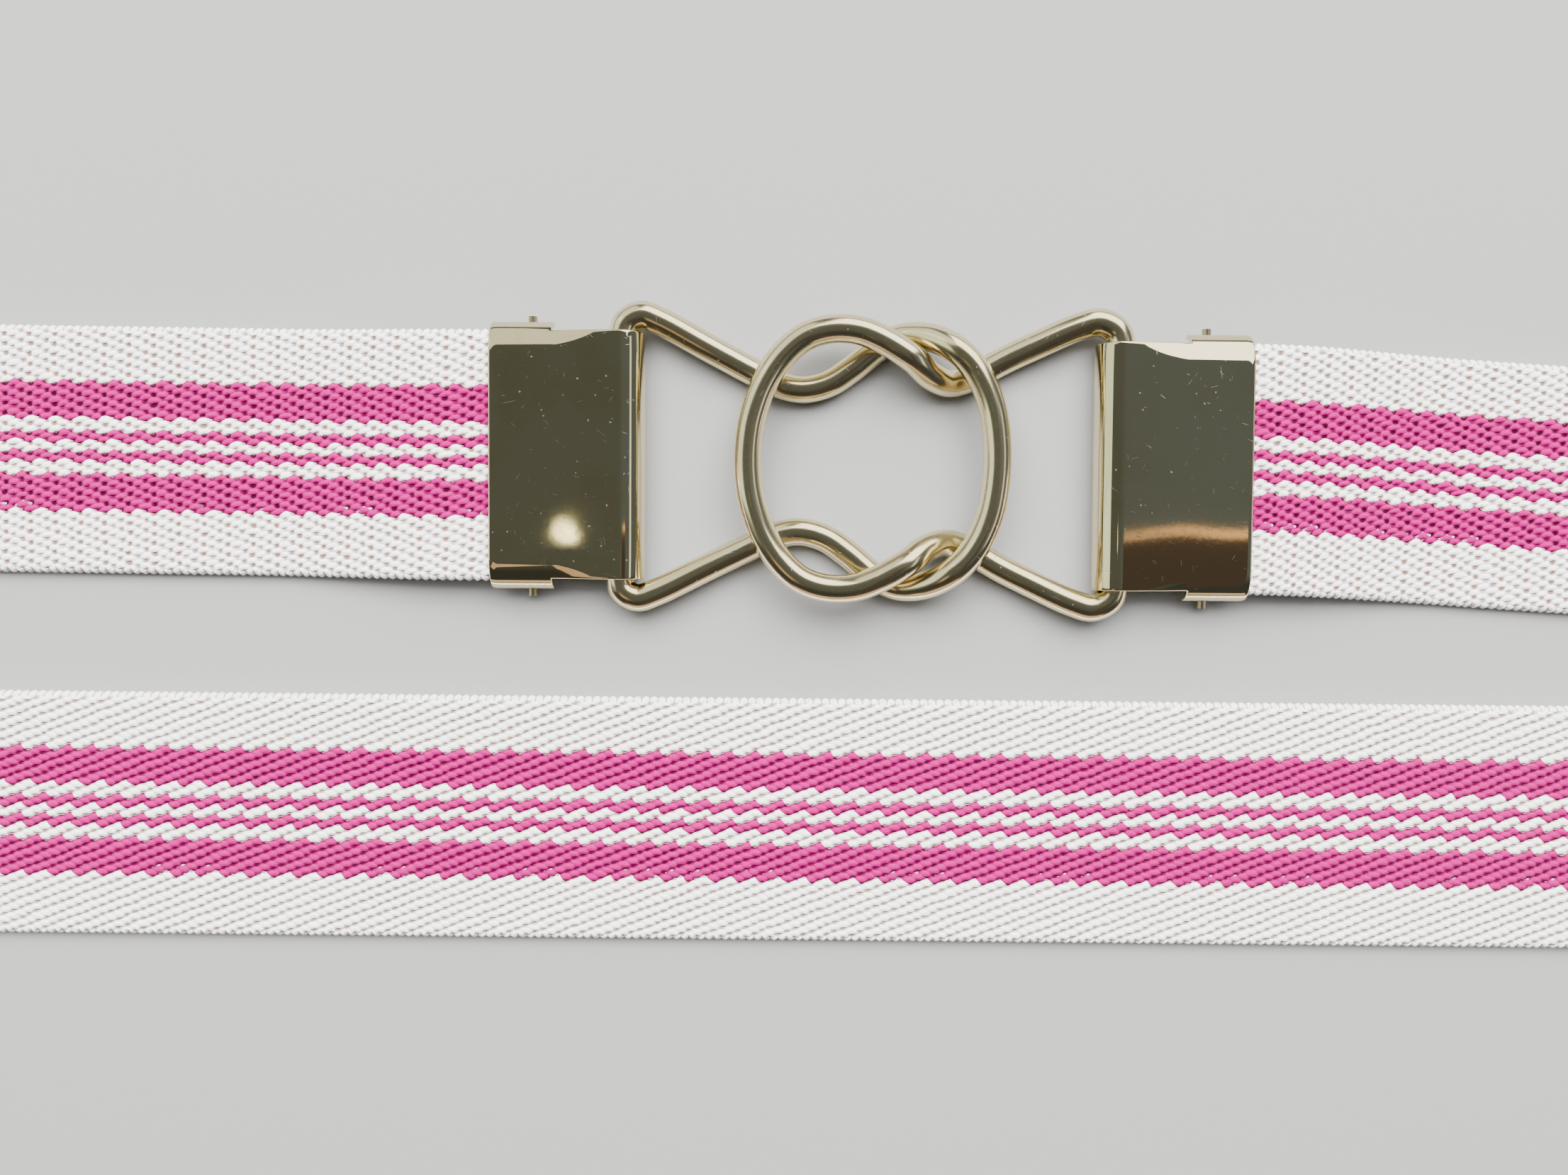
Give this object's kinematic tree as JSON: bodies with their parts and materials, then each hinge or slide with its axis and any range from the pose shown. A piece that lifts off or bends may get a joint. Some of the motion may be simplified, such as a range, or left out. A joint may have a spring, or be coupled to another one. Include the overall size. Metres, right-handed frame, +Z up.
{
  "type": "striped elastic belt",
  "caption": "Fastened elastic ribbon belt lying in a flattened loop, with lengthwise stripes and an interlocking wire-frame clasp held by folded sheet clips.",
  "frame": {"origin": "on the table under the middle of the belt's bounding box", "axes": "+X along the belt, +Y across it towards the run with the clasp, +Z up from the table"},
  "size_m": [0.3, 0.0662, 0.025],
  "materials": {
    "striped_webbing": "woven elastic webbing with lengthwise pink and warm white stripes",
    "clip_metal": "polished pale gold-tone plating with fine scratches",
    "wire_metal": "polished pale gold-tone plated round wire",
    "gate_metal": "dull gold-tone plating"
  },
  "bodies": {
    "root": {"webbing_strap": "striped_webbing", "clip_left": "clip_metal", "clip_right": "clip_metal", "clamp_gate_left": "gate_metal", "clamp_gate_right": "gate_metal", "loop_left": "wire_metal", "loop_right": "wire_metal"}
  },
  "joints": []
}
